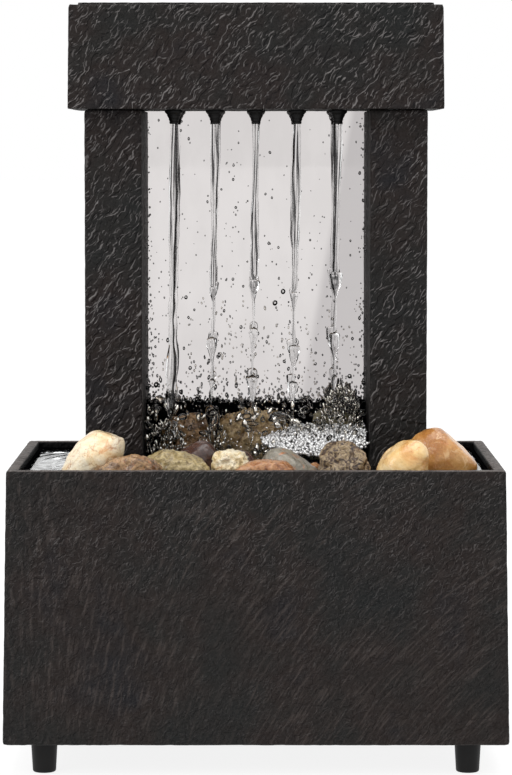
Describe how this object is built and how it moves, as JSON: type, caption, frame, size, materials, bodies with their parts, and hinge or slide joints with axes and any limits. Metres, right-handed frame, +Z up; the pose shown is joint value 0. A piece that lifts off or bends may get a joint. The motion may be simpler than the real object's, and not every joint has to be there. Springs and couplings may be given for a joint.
{
  "type": "tabletop rain fountain",
  "caption": "Tabletop fountain with a slate-look basin of pebbles and a tower where streams fall from a header in front of a mirror.",
  "frame": {"origin": "middle of the footprint, on the table under the feet", "axes": "+Z up, -Y is the front that the water is seen from, +X to the viewer's right"},
  "size_m": [0.1928, 0.1276, 0.2953],
  "materials": {
    "slate": "cast resin with a dark slate look and wrinkled relief",
    "tub_plastic": "smooth black",
    "black_plastic": "moulded, satin black",
    "rubber": "soft, matt black",
    "mirror": "flat silvered panel",
    "clear_hose": "soft translucent tube",
    "steel": "plain stainless",
    "magnet": "plastic-bonded magnet, dark grey",
    "ceramic": "ground white ceramic",
    "cream_stone": "river pebble, cream",
    "amber_stone": "river pebble, orange-tan, slightly polished",
    "mottled_stone": "rough pebble, brown and cream",
    "russet_stone": "river pebble, orange-brown",
    "grey_stone": "river pebble, warm grey",
    "plum_stone": "wet river pebble, dark purple-brown",
    "olive_stone": "river pebble, olive-tan",
    "brown_stone": "river pebble, brown"
  },
  "bodies": {
    "fountain": {"base_shell": "slate", "basin_tub": "tub_plastic", "base_plate": "black_plastic", "cable_grommet": "rubber", "foot_front_left": "rubber", "foot_front_right": "rubber", "foot_rear_left": "rubber", "foot_rear_right": "rubber", "base_screw_front_left": "steel", "base_screw_front_right": "steel", "base_screw_rear_left": "steel", "base_screw_rear_right": "steel", "pebble_deck": "black_plastic", "left_column": "slate", "right_column": "slate", "mirror_panel": "mirror", "splash_ledge": "black_plastic", "back_panel": "slate", "column_screw_left_front": "steel", "column_screw_left_rear": "steel", "column_screw_right_front": "steel", "column_screw_right_rear": "steel", "header_screw_left_front": "steel", "header_screw_left_rear": "steel", "header_screw_right_front": "steel", "header_screw_right_rear": "steel", "header_shell": "slate", "water_trough": "black_plastic", "nozzle_1": "rubber", "nozzle_2": "rubber", "nozzle_3": "rubber", "nozzle_4": "rubber", "nozzle_5": "rubber", "pump_body": "black_plastic", "volute_cover": "black_plastic", "impeller_shaft": "ceramic", "suction_cup_front_left": "rubber", "suction_cup_front_right": "rubber", "suction_cup_rear_left": "rubber", "suction_cup_rear_right": "rubber", "riser_hose": "clear_hose", "pebble_grey": "grey_stone", "pebble_shell": "cream_stone", "pebble_plum": "plum_stone", "pebble_ember": "russet_stone", "pebble_wet": "plum_stone", "pebble_tan": "olive_stone", "pebble_bark": "brown_stone", "pebble_moss": "grey_stone"},
    "lid": {"header_lid": "slate"},
    "impeller": {"impeller": "magnet"},
    "intake": {"intake_cover": "black_plastic"},
    "dial": {"flow_dial": "black_plastic"},
    "cream_pebble": {"pebble_cream": "cream_stone"},
    "brown_pebble": {"pebble_brown": "brown_stone"},
    "olive_pebble": {"pebble_olive": "olive_stone"},
    "russet_pebble": {"pebble_russet": "russet_stone"},
    "mottled_pebble": {"pebble_mottled": "mottled_stone"},
    "amber_pebble": {"pebble_amber": "amber_stone"},
    "honey_pebble": {"pebble_honey": "amber_stone"}
  },
  "joints": [
    {"name": "lid_lift", "type": "slide", "parent": "fountain", "child": "lid", "axis": [0, 0, 1], "range_m": [0, 0.04]},
    {"name": "impeller_spin", "type": "hinge", "parent": "fountain", "child": "impeller", "pos_m": [-0.004, 0.01, 0.0476], "axis": [0, 1, 0], "continuous": true},
    {"name": "intake_pull", "type": "slide", "parent": "fountain", "child": "intake", "axis": [0, -1, 0], "range_m": [0, 0.02]},
    {"name": "flow_dial_turn", "type": "hinge", "parent": "intake", "child": "dial", "pos_m": [0.007, -0.017, 0.0556], "axis": [0, 1, 0], "range_deg": [0, 90]},
    {"name": "cream_pebble_lift", "type": "slide", "parent": "fountain", "child": "cream_pebble", "axis": [0, 0, 1], "range_m": [0, 0.05]},
    {"name": "brown_pebble_lift", "type": "slide", "parent": "fountain", "child": "brown_pebble", "axis": [0, 0, 1], "range_m": [0, 0.05]},
    {"name": "olive_pebble_lift", "type": "slide", "parent": "fountain", "child": "olive_pebble", "axis": [0, 0, 1], "range_m": [0, 0.05]},
    {"name": "russet_pebble_lift", "type": "slide", "parent": "fountain", "child": "russet_pebble", "axis": [0, 0, 1], "range_m": [0, 0.05]},
    {"name": "mottled_pebble_lift", "type": "slide", "parent": "fountain", "child": "mottled_pebble", "axis": [0, 0, 1], "range_m": [0, 0.05]},
    {"name": "amber_pebble_lift", "type": "slide", "parent": "fountain", "child": "amber_pebble", "axis": [0, 0, 1], "range_m": [0, 0.05]},
    {"name": "honey_pebble_lift", "type": "slide", "parent": "fountain", "child": "honey_pebble", "axis": [0, 0, 1], "range_m": [0, 0.05]}
  ]
}
